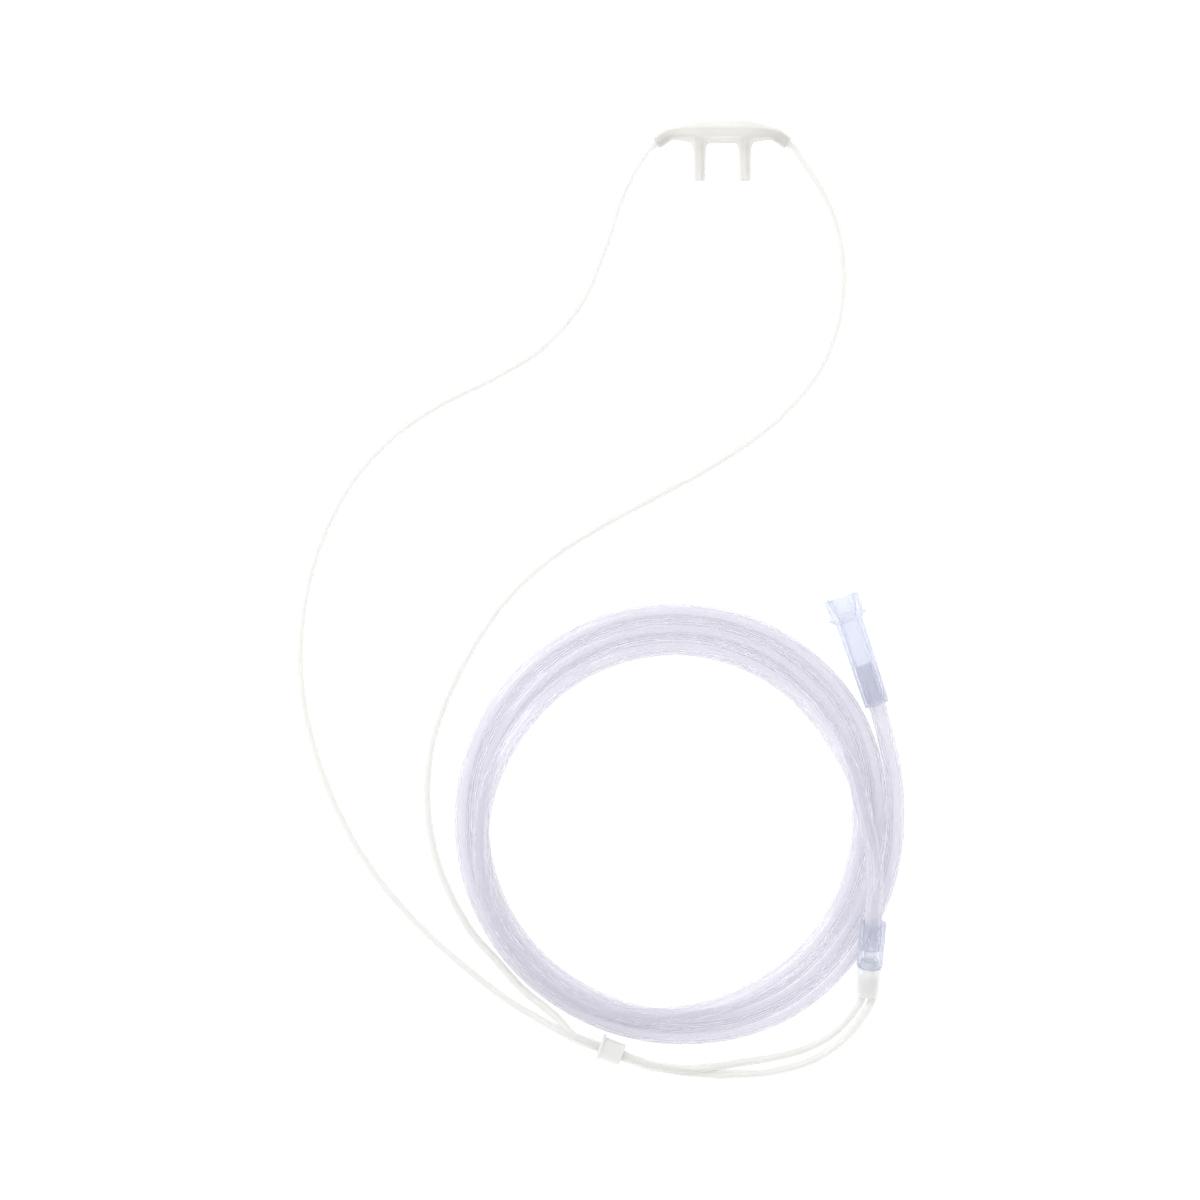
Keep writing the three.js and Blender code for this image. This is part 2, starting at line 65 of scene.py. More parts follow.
# %% [markdown]
# ## The camera
#
# The photograph looks straight down. A long lens from well above keeps the tubes nearly free of
# perspective, and the frame is as wide as the table that the picture shows, at the level of the
# tubes' middles.

# %% The camera
VIEW_CENTRE = np.array([-43.6, -160.4])
VIEW_WIDTH = 428.6
LENS, SENSOR = 200.0, 36.0
LEVEL_IN_VIEW = 3.0

camera = bpy.data.objects.new("camera", bpy.data.cameras.new("camera"))
camera.data.lens = LENS
camera.data.sensor_width = SENSOR
camera.location = (*(VIEW_CENTRE * MM), (VIEW_WIDTH * LENS / SENSOR + LEVEL_IN_VIEW) * MM)
bpy.context.scene.collection.objects.link(camera)
bpy.context.scene.camera = camera
print(f"camera {camera.location.z:.3f} m above the table")

# %% [markdown]
# ## Routes
#
# A tube is a section carried along a route. The route is a centripetal Catmull-Rom curve, which
# passes through every point without overshoot, the same curve as in the CAD model. It is then cut
# into equal steps, so that the rings of the tube are evenly spaced.


# %% A smooth route through points
def smooth_route(points, floor, step, cuts=24):
    """Between two points the curve is a cubic whose end slopes come from the square roots of the
    distances to the neighbours. It is worked out at `cuts` places between them, and no place goes
    below `floor`. Returns points about `step` apart."""
    points = np.asarray(points, float)
    line = np.vstack([2 * points[0] - points[1], points, 2 * points[-1] - points[-2]])
    p0, p1, p2, p3 = line[:-3], line[1:-2], line[2:-1], line[3:]
    d0, d1, d2 = (
        np.sqrt(np.linalg.norm(b - a, axis=1))[:, None]
        for a, b in ((p0, p1), (p1, p2), (p2, p3))
    )
    slope1 = ((p1 - p0) / d0 - (p2 - p0) / (d0 + d1) + (p2 - p1) / d1) * d1
    slope2 = ((p2 - p1) / d1 - (p3 - p1) / (d1 + d2) + (p3 - p2) / d2) * d1
    s = np.linspace(0, 1, cuts, endpoint=False)[:, None, None]
    cubic = p1 + slope1 * s + (3 * (p2 - p1) - 2 * slope1 - slope2) * s**2
    cubic = cubic + (2 * (p1 - p2) + slope1 + slope2) * s**3
    fine = np.vstack([cubic.transpose(1, 0, 2).reshape(-1, 3), points[-1:]])
    fine[:, 2] = np.maximum(fine[:, 2], floor)
    return even_steps(fine, step)


def even_steps(line, step):
    """The same line with its points an equal distance apart, as near to `step` as fits."""
    walked = route_distance(line)
    count = int(np.ceil(walked[-1] / step)) + 1
    marks = np.linspace(0, walked[-1], count)
    return np.column_stack([np.interp(marks, walked, line[:, k]) for k in range(3)])


def route_distance(line):
    """How far along the line each of its points is."""
    return np.concatenate([[0], np.cumsum(np.linalg.norm(np.diff(line, axis=0), axis=1))])


def unit(vectors):
    """The vectors, each divided by its own length."""
    return vectors / np.linalg.norm(vectors, axis=-1, keepdims=True)


def heading(turn, tilt=0.0):
    """The unit vector `turn` degrees clockwise from +Y, seen from above, that rises `tilt` radians."""
    turn = np.radians(turn)
    flat = np.cos(tilt)
    return np.array([np.sin(turn) * flat, np.cos(turn) * flat, np.sin(tilt)])


# %% [markdown]
# ## Where the connectors lie
#
# The Y connector stands on its foot and leans on the coil, which it meets `Y_REST` along its axis.
# The end connector lies on its own end and on the edge of its flange. These sizes and places are those
# of the CAD solids. Diameters and bores are whole; radii, holes, seats and offsets are from an axis.

# %% Sizes and places from the CAD model
LARIAT_OD, SUPPLY_OD = 3.1, 6.2
LARIAT_BORE, SUPPLY_BORE = 1.9, 4.4
UP = np.array([0.0, 0.0, 1.0])

COLLAR_RADIUS = 2.35
COLLAR_MOUTH = np.array([23.6, 2.8, COLLAR_RADIUS])
COLLAR_OUT = heading(125)
LARIAT_HOLE = 1.8

SLIDER_TURN = 20.5
SLIDER_CENTRE = np.array([-39.8, -321.4, 5.1])
SLIDER_AXIS = heading(SLIDER_TURN - 90)
SLOT_TILT = np.radians(15)
TUBE_GAP = 0.2

Y_TURN, Y_LENGTH, Y_REST = 4.3, 27.5, 22
SOCKET_OFFSET, SOCKET_RADIUS, COUPLER_RADIUS = 1.95, 4.35, 4.7
CLEARANCE = 0.3
Y_TILT = np.arcsin((SUPPLY_OD + CLEARANCE + COUPLER_RADIUS - SOCKET_RADIUS) / Y_REST)
Y_AXIS = heading(Y_TURN, Y_TILT)
Y_SIDE = heading(Y_TURN + 90)
Y_FOOT = np.array([51.7, -301.2, SOCKET_RADIUS * np.cos(Y_TILT)])
Y_HEAD = Y_FOOT + Y_AXIS * Y_LENGTH

CONNECTOR_RADIUS, FLANGE_RADIUS, FLANGE_START = 4.45, 7.15, 33.1
CONNECTOR_TILT = np.arcsin((FLANGE_RADIUS - CONNECTOR_RADIUS) / FLANGE_START)
CONNECTOR_AXIS = heading(-18.7, CONNECTOR_TILT)
CONNECTOR_END = np.array([55.3, -197.7, CONNECTOR_RADIUS * np.cos(CONNECTOR_TILT)])


def in_slider(side, distance):
    """The line of a lariat tube in the slider: `side` is 1 for the upper tube, -1 for the lower."""
    lift = side * (LARIAT_OD + TUBE_GAP) / 2
    up = heading(SLIDER_TURN) * np.sin(SLOT_TILT) + UP * np.cos(SLOT_TILT)
    return SLIDER_CENTRE + SLIDER_AXIS * distance + up * lift


def in_socket(side, depth):
    """The line of a lariat tube in the socket, at a depth from its foot: `side` is -1 or 1."""
    return Y_FOOT + Y_AXIS * depth + Y_SIDE * side * SOCKET_OFFSET


print("Y connector's head at", np.round(Y_HEAD, 1))

# %% [markdown]
# ## The supply tube's route
#
# Out of the Y connector the tube passes over the coil, comes down on it, makes three turns and runs to
# the end connector. The turns are given by the distance from the coil's centre and the height at
# every 30 degrees, because they wander: a hand-wound coil is never round. Both ends of the tube sit
# in their connectors, 10 mm deep in the coupler and 15 mm deep in the other.

# %% The supply tube's route
COIL_CENTRE = np.array([-14.64, -240.0])
# The distance from the centre at every mark, from +X anticlockwise; the last one ends the third turn.
TURN_RADII = [
    66.1, 61.9, 61.9, 62.8, 64.4, 67.0, 71.3, 74.3, 72.9, 68.0, 64.4, 63.6,
    64.0, 66.7, 68.2, 69.1, 70.7, 71.8, 71.7, 71.0, 69.9, 69.8, 70.7, 69.9,
    70.3, 73.0, 74.5, 75.4, 77.0, 78.1, 78.0, 77.3, 76.2, 76.1, 77.0, 76.3, 76.7,
]  # fmt: skip
TURN_HEIGHTS = [10.3, 8.0, 3.3, 3.1, 3.1, 7.3, 9.3, 8.7, 8.6, 9.2, 5.4, 3.2] + [3.1] * 25
# Degrees: from one mark to the next, and where the coil starts and ends.
MARK, COIL_START, COIL_END = 30, 15, 1080
START_POINTS = [
    [53.9, -267.0, 13.4], [54.3, -261.5, 12.9], [54.2, -255.0, 11.7],
    [53.3, -248.0, 10.5], [51.5, -240.0, 9.9], [49.4, -231.8, 9.7],
]  # fmt: skip
TAIL_POINTS = [
    [62.1, -231.8, 3.1], [61.5, -224.6, 3.1], [60.4, -217.5, 3.15], [59.6, -213.9, 3.3],
    [58.7, -210.4, 3.5], [57.8, -206.8, 3.75], [56.8, -203.2, 4.0],
]  # fmt: skip


def between_marks(values, degrees):
    """A cubic through the values at every mark; the slope at each is half the step from the value
    before it to the one after it."""
    values = np.asarray(values, float)
    padded = np.concatenate([values[:1], values, values[-1:]])
    at = np.clip(np.asarray(degrees) / MARK, 0, len(values) - 1)
    i = np.minimum(at.astype(int), len(values) - 2)
    s = at - i
    a, b, c, d = (padded[i + k] for k in range(4))
    m, n = (c - a) / 2, (d - b) / 2
    return b + m * s + (3 * (c - b) - 2 * m - n) * s**2 + (2 * (b - c) + m + n) * s**3


turn = np.arange(COIL_START, COIL_END + 1, MARK / 4)
radius = between_marks(TURN_RADII, turn)
coil = np.column_stack([
    COIL_CENTRE[0] + radius * np.cos(np.radians(turn)),
    COIL_CENTRE[1] + radius * np.sin(np.radians(turn)),
    np.maximum(between_marks(TURN_HEIGHTS, turn), SUPPLY_OD / 2),
])
in_coupler = [Y_HEAD + Y_AXIS * along for along in (-10, -5, 0)]
in_connector = [CONNECTOR_END + CONNECTOR_AXIS * along for along in (0, 7.5, 15)]
supply_points = np.vstack([in_coupler, START_POINTS, coil, TAIL_POINTS, in_connector])
supply_route = smooth_route(supply_points, SUPPLY_OD / 2, step=2.2)
print(f"supply tube: {route_distance(supply_route)[-1]:.0f} mm, {len(supply_route)} rings")

# %% [markdown]
# ## The lariat tubes' routes
#
# Each thin tube leaves a collar of the nosepiece, runs round to the slider, passes through it and
# ends in the socket. The right tube lies on the left one in the slider, and they cross on the way to
# the socket.

# %% The lariat tubes' routes
LEFT_ARM = [
    [-28.4, -2.3, 1.8], [-35.2, -14.8, 1.55], [-42.1, -35.0, 1.55], [-50.7, -54.5, 1.55],
    [-64.7, -70.4, 1.55], [-82.9, -81.5, 1.55], [-102.0, -91.0, 1.55], [-119.3, -103.4, 1.55],
    [-133.3, -119.5, 1.55], [-143.0, -138.5, 1.55], [-148.9, -159.0, 1.55], [-150.9, -180.2, 1.55],
    [-148.8, -201.4, 1.55], [-143.1, -221.9, 1.55], [-134.5, -241.5, 1.55], [-123.3, -259.6, 1.55],
    [-109.3, -275.7, 1.55], [-93.6, -290.2, 1.55], [-76.8, -303.2, 1.75], [-64.6, -310.6, 2.5],
]  # fmt: skip
LEFT_FOOT = [
    [-21.7, -327.7, 2.5], [-12.2, -329.3, 1.75], [-5.7, -329.8, 1.55], [-1.2, -330.1, 1.55],
    [6.3, -329.8, 1.55], [14.7, -329.4, 1.55], [23.1, -327.8, 1.55], [31.1, -325.3, 1.55],
    [38.6, -321.2, 1.7], [45.1, -315.8, 1.95], [50.1, -309.4, 2.5],
]  # fmt: skip
RIGHT_ARM = [
    [28.6, -3.4, 1.8], [36.1, -15.2, 1.55], [41.2, -28.6, 1.55], [43.2, -42.8, 1.55],
    [42.2, -57.1, 1.55], [38.3, -70.8, 1.55], [31.2, -83.3, 1.55], [16.3, -98.7, 1.55],
    [-1.4, -110.9, 1.55], [-20.1, -121.4, 1.55], [-39.1, -131.5, 1.55], [-57.5, -142.6, 1.55],
    [-73.9, -156.4, 1.55], [-86.9, -173.6, 1.55], [-97.1, -192.5, 1.55], [-104.0, -212.8, 1.55],
    [-105.5, -234.1, 1.55], [-101.6, -255.3, 1.55], [-90.3, -278.2, 1.55], [-81.4, -288.5, 1.8],
    [-71.9, -299.0, 2.8], [-60.4, -308.3, 4.9],
]  # fmt: skip
RIGHT_FOOT = [
    [-21.5, -326.9, 5.6], [-12.0, -327.7, 4.4], [-5.7, -327.3, 3.6], [-1.6, -326.9, 2.4],
    [6.6, -325.6, 1.55], [15.2, -324.3, 1.55], [23.7, -322.5, 1.55], [32.0, -319.7, 1.55],
    [39.5, -315.3, 1.7], [45.2, -309.6, 2.3],
]  # fmt: skip


def lariat_route(side, arm, foot):
    """The line from the collar by the points of the arm, the slider and the points of the foot to
    the socket. `side` is -1 for the left tube, the lower one in the slider, and 1 for the right."""
    mirror = np.array([side, 1, 1])
    collar = [(COLLAR_MOUTH + COLLAR_OUT * d) * mirror for d in (-4.7, -2.35, 2)]
    sleeve = [in_slider(side, d) for d in (13.9, 11.4, 5.7, -5.7, -11.4, -13.9)]
    socket = [in_socket(-side, d) for d in (-2, 3, 6)]
    return smooth_route(np.vstack([collar, arm, sleeve, foot, socket]), LARIAT_OD / 2, step=1.7)


left_route = lariat_route(-1, LEFT_ARM, LEFT_FOOT)
right_route = lariat_route(1, RIGHT_ARM, RIGHT_FOOT)
for side, route in (("left", left_route), ("right", right_route)):
    print(f"{side} lariat tube: {route_distance(route)[-1]:.0f} mm, {len(route)} rings")

# %% [markdown]
# ## From rings to a mesh
#
# Nearly every piece here is a closed grid: rings of equal counts of points, where the last ring joins
# the first. A hollow tube is one too, out along its skin and back along its bore, so each wall is real
# and closed. Rings that shrink to a point close the ends of a solid piece.


# %% Meshes from rings
def face_outwards(geometry):
    """Turns the faces about where the volume that they close comes out below 0."""
    if geometry.calc_volume(signed=True) < 0:
        bmesh.ops.reverse_faces(geometry, faces=geometry.faces)


def object_of(name, geometry):
    """An object with the bmesh as its mesh, its faces pointing outwards."""
    face_outwards(geometry)
    mesh = bpy.data.meshes.new(name)
    geometry.to_mesh(mesh)
    geometry.free()
    piece = bpy.data.objects.new(name, mesh)
    bpy.context.scene.collection.objects.link(piece)
    return piece


def mesh_object(name, geometry, sharp=35):
    """A finished piece of a bmesh in millimetres: its mesh is in metres, and its edges sharper than
    `sharp` degrees are creased in the shading."""
    geometry.transform(Matrix.Scale(MM, 4))
    piece = object_of(name, geometry)
    mesh = piece.data
    mesh.shade_smooth()
    mesh.set_sharp_from_angle(angle=np.radians(sharp))
    print(f"{name}: {len(mesh.vertices)} points, {len(mesh.polygons)} faces")
    return piece


def ring_grid(rings, walked=None, merge=1e-5):
    """A bmesh of an array of rings (row, place in the row, xyz), closed both ways. Points nearer than
    `merge` become one, so a row of equal points becomes a pole. `walked` says how far along the
    route each row is, and then a UV map gives the turn about the tube and that distance in metres."""
    rows, columns = rings.shape[:2]
    i, j = np.meshgrid(np.arange(rows), np.arange(columns), indexing="ij")
    down, across = (i + 1) % rows, (j + 1) % columns
    corners = [i * columns + j, i * columns + across, down * columns + across, down * columns + j]
    faces = np.stack(corners, axis=-1).reshape(-1, 4)
    mesh = bpy.data.meshes.new("grid")
    mesh.from_pydata(rings.reshape(-1, 3), [], faces)
    if walked is not None:
        turns = np.stack([j, j + 1, j + 1, j], axis=-1) / columns
        distance = np.stack([walked[i], walked[i], walked[down], walked[down]], axis=-1) * MM
        uv = mesh.uv_layers.new(name="drawn")
        uv.data.foreach_set("uv", np.stack([turns, distance], axis=-1).ravel())
    geometry = bmesh.new()
    geometry.from_mesh(mesh)
    bpy.data.meshes.remove(mesh)
    bmesh.ops.remove_doubles(geometry, verts=geometry.verts, dist=merge)
    return geometry


def round_angles(columns):
    """Equal steps once round, in radians, without the last one, which is the first again."""
    return np.arange(columns) / columns * 2 * np.pi


# %% [markdown]
# ## Tubes
#
# The section is swept along the route without twisting: its own "up" stays as near to the world's up
# as the route allows. Supply tube has five ribs inside, so that a kink or a foot can't close it, and
# they show through the wall as fine lines along its whole length. The lariat tubes are plain inside.


# %% Hollow tubes
def swept(route, outline):
    """Each ring is the outline, set across the route: its x goes level and its y goes upwards."""
    ahead = unit(np.gradient(route, axis=0))
    level = unit(np.cross(ahead, UP))
    above = np.cross(level, ahead)
    x, y = outline[None, :, :1], outline[None, :, 1:]
    return route[:, None] + level[:, None] * x + above[:, None] * y


def hollow_tube(name, route, diameter, bore, columns, ribs=0, rib_height=0.0, rib_turn=0.6):
    """Out along the skin and back along the bore. Each of the `ribs` is a squared cosine hump, at its
    top `rib_height` nearer to the axis than the bore's wall. The first is turned back from level by
    `rib_turn` radians over the number of ribs."""
    angle = round_angles(columns)
    circle = np.column_stack([np.cos(angle), np.sin(angle)])
    hump = (0.5 + 0.5 * np.cos(ribs * angle + rib_turn)) ** 2
    outside = swept(route, circle * diameter / 2)
    inside = swept(route, circle * (bore / 2 - rib_height * hump)[:, None])[::-1]
    walked = route_distance(route)
    rings = np.concatenate([outside, inside])
    return mesh_object(name, ring_grid(rings, np.concatenate([walked, walked[::-1]])), sharp=50)


supply_tube = hollow_tube(
    "supply_tube", supply_route, SUPPLY_OD, SUPPLY_BORE, columns=60, ribs=5, rib_height=0.25
)
lariats = [
    hollow_tube(f"lariat_{side}", route, LARIAT_OD, LARIAT_BORE, columns=28)
    for side, route in (("left", left_route), ("right", right_route))
]

# %% [markdown]
# ## Turned mouldings
#
# The blue couplers are round about an axis, so each is a closed profile turned into rings. Nothing
# that comes out of a mould has a knife edge, so each corner of the profile is rounded first. A profile
# point is a distance from the axis and a height along it.


# %% Rounded profiles, turned
def rounded(profile, reach, steps=4, most=0.45):
    """Each corner of the closed profile becomes a short parabola of `steps` points that starts and
    ends `reach` from it, or at `most` of the edge where the edge is short."""
    corner = np.asarray(profile, float)
    back, on = np.roll(corner, 1, axis=0) - corner, np.roll(corner, -1, axis=0) - corner
    t = np.linspace(0, 1, steps)[:, None]
    ends = []
    for edge in (back, on):
        size = np.linalg.norm(edge, axis=1)[:, None]
        ends.append(corner + edge / size * np.minimum(reach, most * size))
    start, end = ends[0][:, None], ends[1][:, None]
    curve = start * (1 - t) ** 2 + 2 * corner[:, None] * t * (1 - t) + end * t**2
    return curve.reshape(-1, 2)


def turned(profile, place, axis, columns=64):
    """Rings about the axis: a profile point (radius, height) goes round at that height."""
    level = unit(np.cross(UP, axis))
    across = np.cross(axis, level)
    angle = round_angles(columns)
    out = np.cos(angle)[:, None] * level + np.sin(angle)[:, None] * across
    radius, height = profile[:, 0][:, None, None], profile[:, 1][:, None, None]
    return place + radius * out + height * axis


EDGE_ROUND = 0.35
SUPPLY_SEAT, COUPLER_STOP, CONNECTOR_STOP = 3.35, 17.2, 15.3
SOCKET_LENGTH, SPIGOT_RADIUS, SPIGOT_TOP = 10.6, 3.0, 13.0
SHOULDER_RADIUS, SHOULDER, FLANGE_END = 5.0, 31.6, 33.9
MOUTH_ROOT, MOUTH_RADIUS, MOUTH_HOLE, MOUTH_END = 6.05, 6.4, 5.5, 41.0
OUTLET_HOLE = 3.55

joint_radius, joint_top = SPIGOT_RADIUS + CLEARANCE, SPIGOT_TOP + CLEARANCE
coupler_foot = SOCKET_LENGTH + CLEARANCE
coupler_profile = [
    [joint_radius, coupler_foot], [COUPLER_RADIUS, coupler_foot], [COUPLER_RADIUS, Y_LENGTH],
    [SUPPLY_SEAT, Y_LENGTH], [SUPPLY_SEAT, COUPLER_STOP], [SUPPLY_BORE / 2, COUPLER_STOP],
    [SUPPLY_BORE / 2, joint_top], [joint_radius, joint_top],
]  # fmt: skip
connector_profile = [
    [SUPPLY_SEAT, 0], [CONNECTOR_RADIUS, 0], [SHOULDER_RADIUS, SHOULDER],
    [FLANGE_RADIUS, FLANGE_START], [FLANGE_RADIUS, FLANGE_END], [MOUTH_ROOT, FLANGE_END],
    [MOUTH_RADIUS, MOUTH_END], [MOUTH_HOLE, MOUTH_END], [OUTLET_HOLE, FLANGE_START],
    [OUTLET_HOLE, CONNECTOR_STOP], [SUPPLY_SEAT, CONNECTOR_STOP],
]  # fmt: skip
coupler_rings = turned(rounded(coupler_profile, EDGE_ROUND), Y_FOOT, Y_AXIS)
coupler = mesh_object("supply_coupler_moulding", ring_grid(coupler_rings))
connector_rings = turned(rounded(connector_profile, EDGE_ROUND), CONNECTOR_END, CONNECTOR_AXIS)
end_connector = mesh_object("end_connector_moulding", ring_grid(connector_rings))

# %% [markdown]
# ## The slider
#
# The slider is a sleeve with a flange. Outside it is round and inside it is a slot that holds the two
# tubes on top of each other, so the rings change from circles to stadiums where they go inside.


# %% The slider
SLIDER_RADIUS, SLIDER_FLANGE, SLIDER_HALF = 4.1, 5.1, 4.4
FLANGE_FACE, SLIDER_LIP = 3.4, 3.4
SLOT_HALF_WIDTH, SLOT_HALF_HEIGHT = 1.8, 3.45


def stadium(columns, half_width, half_height, quickness=6):
    """A circle of the slot's width, whose upper and lower halves are moved apart, by a hyperbolic
    tangent that goes quickly from one to the other at the sides."""
    angle = round_angles(columns)
    shift = (half_height - half_width) * np.tanh(quickness * np.sin(angle))
    return np.column_stack([half_width * np.cos(angle), half_width * np.sin(angle) + shift])


def slider_rings(columns=72):
    """The outside is a turned profile. The slot's rings go back through it, and flare at its ends."""
    outline = [
        [SLIDER_LIP, -SLIDER_HALF], [SLIDER_RADIUS, -SLIDER_HALF], [SLIDER_RADIUS, FLANGE_FACE],
        [SLIDER_FLANGE, FLANGE_FACE], [SLIDER_FLANGE, SLIDER_HALF], [SLIDER_LIP, SLIDER_HALF],
    ]  # fmt: skip
    shape = turned(rounded(outline, 0.3)[2:-2], SLIDER_CENTRE, SLIDER_AXIS, columns)
    level = np.cross(UP, SLIDER_AXIS)
    above = np.cross(SLIDER_AXIS, level)
    across = level * np.cos(SLOT_TILT) + above * np.sin(SLOT_TILT)
    up = above * np.cos(SLOT_TILT) - level * np.sin(SLOT_TILT)
    depth = SLIDER_HALF - np.array([0, 0.15, 0.4])
    flare = np.array([0.25, 0.08, 0.0])
    depth, flare = np.append(depth, -depth[::-1]), np.append(flare, flare[::-1])
    slots = np.stack([stadium(columns, SLOT_HALF_WIDTH + f, SLOT_HALF_HEIGHT + f) for f in flare])
    inside = SLIDER_CENTRE + SLIDER_AXIS * depth[:, None, None]
    inside = inside + across * slots[..., :1] + up * slots[..., 1:]
    return np.concatenate([shape, inside])


slider = mesh_object("slider_moulding", ring_grid(slider_rings()))

# %% [markdown]
# ## Bores
#
# The socket and the nosepiece have holes that branch, which no single grid can follow. Their outsides
# are made as solids, and the bores are cut out of them with Boolean modifiers that are applied at
# once. The work is done in millimetres.


# %% Cutting bores
def applied(piece):
    """The bmesh of the piece with its modifiers, after which the piece is gone."""
    bpy.context.view_layer.update()
    mesh = piece.evaluated_get(bpy.context.evaluated_depsgraph_get()).to_mesh()
    geometry = bmesh.new()
    geometry.from_mesh(mesh)
    bpy.data.objects.remove(piece)
    return geometry


def cut(geometry, cutters):
    """The shape without the cutters, each of them a bmesh."""
    piece = object_of("work", geometry)
    tools = [object_of("tool", cutter) for cutter in cutters]
    for tool in tools:
        difference = piece.modifiers.new("bore", "BOOLEAN")
        difference.operation, difference.object = "DIFFERENCE", tool
    result = applied(piece)
    for tool in tools:
        bpy.data.objects.remove(tool)
    return result


def bar(radius, low, high, place, axis, columns=32):
    """A round bar, closed at its ends by rings of no size."""
    profile = np.array([[0, low], [radius, low], [radius, high], [0, high]], float)
    return ring_grid(turned(profile, place, axis, columns))


SOCKET_HALL, HALL_FLOOR = 2.3, 6.0

socket_outline = [
    [0, 0.01], [SOCKET_RADIUS, 0], [SOCKET_RADIUS, SOCKET_LENGTH], [SPIGOT_RADIUS, SOCKET_LENGTH],
    [SPIGOT_RADIUS, SPIGOT_TOP], [0, SPIGOT_TOP],
]  # fmt: skip
socket_outline = np.vstack([[[0, 0]], rounded(socket_outline, 0.4)[4:-4], [[0, SPIGOT_TOP]]])
hall = bar(SOCKET_HALL, HALL_FLOOR, SPIGOT_TOP + 1, Y_FOOT, Y_AXIS, 40)
holes = [bar(LARIAT_HOLE, -1.0, HALL_FLOOR + 0.3, in_socket(side, 0), Y_AXIS) for side in (1, -1)]
socket_solid = ring_grid(turned(socket_outline, Y_FOOT, Y_AXIS))
socket = mesh_object("lariat_socket_moulding", cut(socket_solid, [hall, *holes]))

# %% [markdown]
# ## The nosepiece
#
# The nosepiece is one soft moulding: a flattened body that narrows to a drooping collar at each end,
# with two prongs. Body and prongs are lofted apart, then remeshed together with tiny voxels and
# smoothed, which blends their roots into each other as the mould does. Last come the bores.


# %% The nosepiece's body
def smoothstep(value, low, high):
    """0 below `low`, 1 above `high`, and an S curve between them."""
    s = np.clip((value - low) / (high - low), 0, 1)
    return s * s * (3 - 2 * s)


BODY_Y, BODY_HEIGHT, BODY_TAPER = 6.75, 6.9, 12
BODY_HALF_WIDTH, BODY_HALF_HEIGHT, BODY_SQUARENESS = 4.15, 3.7, 0.8
COLLAR_LENGTH = 5.0
CHANNEL_RADIUS, CHANNEL_REACH = 1.5, 2.5

COLLAR_ROOT = COLLAR_MOUTH - COLLAR_OUT * COLLAR_LENGTH
spine = np.array([
    [0, BODY_Y], [COLLAR_ROOT[0] / 2, BODY_Y], COLLAR_ROOT[:2] - COLLAR_OUT[:2] * 2.25,
    COLLAR_ROOT[:2],
])  # fmt: skip


def half_spine(reach, rows=56, collar_rows=12):
    """A Bezier curve from the middle to the collar's root, then straight on, `reach` along it."""
    t = np.linspace(0, 1, rows)[:, None]
    share = [(1 - t) ** 3, 3 * t * (1 - t) ** 2, 3 * t**2 * (1 - t), t**3]
    curve = sum(s * point for s, point in zip(share, spine))
    straight = COLLAR_ROOT[:2] + np.linspace(0, reach, collar_rows + 1)[1:, None] * COLLAR_OUT[:2]
    return np.vstack([curve, straight])


def whole_spine(reach):
    """The right half with its mirror image before it; the point in the middle is there once."""
    right = half_spine(reach)
    left = right[:0:-1] * [-1, 1]
    return np.vstack([left, right])


def nosepiece_rings(sizes, reach, columns=64):
    """Superellipses across the spine. `sizes` gives centre height, half width, half height and power
    from how full the body is, which goes from 0 at the collar's root to 1 over `BODY_TAPER`."""
    line = whole_spine(reach)
    full = smoothstep(COLLAR_ROOT[0] - np.abs(line[:, 0]), 0, BODY_TAPER)[:, None]
    centre, across, up, power = sizes(full)
    ahead = unit(np.gradient(line, axis=0))
    angle = round_angles(columns)
    c, s = np.cos(angle), np.sin(angle)
    wide = across * np.sign(c) * np.abs(c) ** power
    high = centre + up * np.sign(s) * np.abs(s) ** power
    x = line[:, :1] - ahead[:, 1:] * wide
    y = line[:, 1:] + ahead[:, :1] * wide
    rings = np.stack([x, y, high], axis=-1)
    ends = [rings[i].mean(axis=0) + 0 * rings[i] for i in (0, -1)]
    return np.concatenate([ends[:1], rings, ends[1:]])


def mixed(low, high, full):
    """`low` where `full` is 0 and `high` where it is 1, in a straight line between."""
    return low + (high - low) * full


def body_sizes(full):
    """Round at the collar. In the middle it is wider than high, a little squarer, and higher than
    the body, whose top and underside are then cut flat."""
    collar = [COLLAR_RADIUS, COLLAR_RADIUS, COLLAR_RADIUS, 1.0]
    middle = [BODY_HEIGHT / 2, BODY_HALF_WIDTH, BODY_HALF_HEIGHT, BODY_SQUARENESS]
    return [mixed(low, high, full) for low, high in zip(collar, middle)]


def channel_sizes(full):
    """Round all along, with its centre as high as the body's."""
    radius = np.full_like(full, CHANNEL_RADIUS)
    return mixed(COLLAR_RADIUS, BODY_HEIGHT / 2, full), radius, radius, np.ones_like(full)


body_rings = nosepiece_rings(body_sizes, COLLAR_LENGTH)
body_rings[..., 2] = np.clip(body_rings[..., 2], 0, BODY_HEIGHT)
print("body:", np.round(np.ptp(body_rings.reshape(-1, 3), axis=0), 1), "mm")

# %% [markdown]
# The prongs are plain tubes with a wide root. They stand on the body's front and point to -Y.

# %% The prongs, and the whole nosepiece
PRONG_X, PRONG_RADIUS, PRONG_BORE, PRONG_LENGTH = 8.1, 2.25, 3.0, 10.8
prong_root = [[0, -4.0], [3.0, -4.0], [3.0, -2.6], [2.6, -1.6], [2.38, -0.8], [2.27, 0.1]]
prong_tip = rounded([[PRONG_RADIUS, 3.0], [PRONG_RADIUS, PRONG_LENGTH], [1.2, PRONG_LENGTH]], 0.3)
prong_profile = np.vstack([prong_root, prong_tip[4:-4], [[0, PRONG_LENGTH]]])
forward = np.array([0.0, -1.0, 0.0])
prong_places = [np.array([side * PRONG_X, 0, BODY_HEIGHT / 2]) for side in (-1, 1)]


